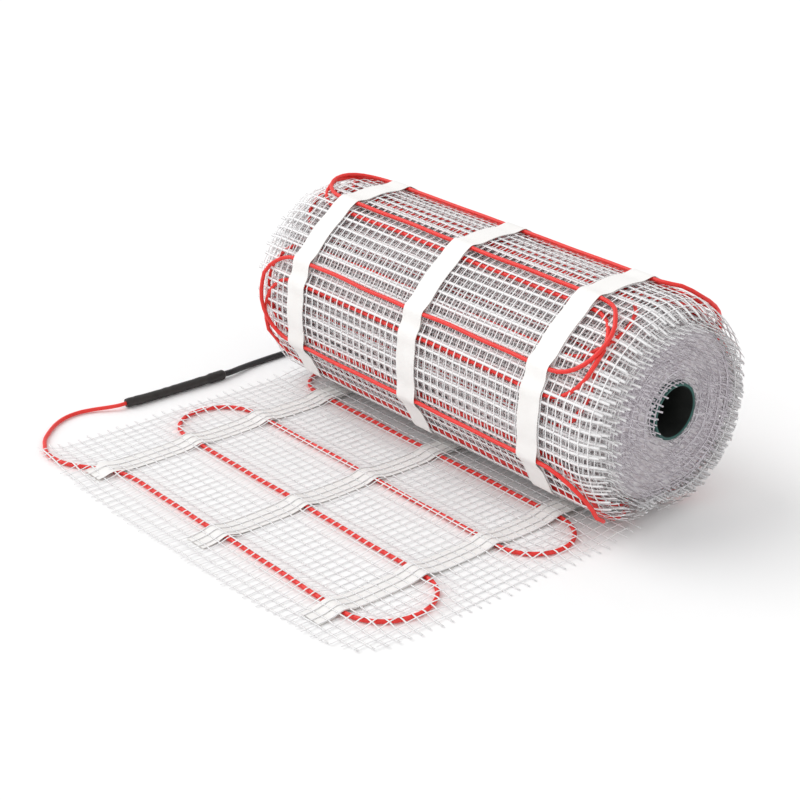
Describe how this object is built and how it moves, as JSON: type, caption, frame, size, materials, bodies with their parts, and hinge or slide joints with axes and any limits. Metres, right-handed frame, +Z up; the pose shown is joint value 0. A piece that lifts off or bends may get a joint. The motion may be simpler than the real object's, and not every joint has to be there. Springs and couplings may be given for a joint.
{
  "type": "underfloor heating mat",
  "caption": "Roll of white glass-fibre heating mat on a plastic core, its free end pulled out flat, with a red heating cable held by tape strips and a black cold lead.",
  "frame": {"origin": "on the floor, under the middle of the box of the mat, core, tapes and heating cable", "axes": "+X along the roll's axis, +Y from the free end towards the roll, +Z up"},
  "size_m": [0.5496, 0.6275, 0.2278],
  "materials": {
    "mesh": "white coated glass-fibre yarn, satin",
    "core": "dark green plastic, slightly glossy",
    "tape": "warm white smooth tape",
    "cable": "bright red smooth sheath",
    "sleeve": "black heat-shrink, slightly wrinkled",
    "lead": "black smooth sheath"
  },
  "bodies": {
    "root": {"mesh_mat": "mesh", "core_tube": "core", "backing_tape_left": "tape", "backing_tape_middle": "tape", "backing_tape_right": "tape", "cover_tape_left": "tape", "cover_tape_middle": "tape", "cover_tape_right": "tape", "heating_cable": "cable", "feed_cable": "cable", "splice_sleeve": "sleeve", "cold_lead": "lead", "cold_lead_coil": "lead"}
  },
  "joints": []
}
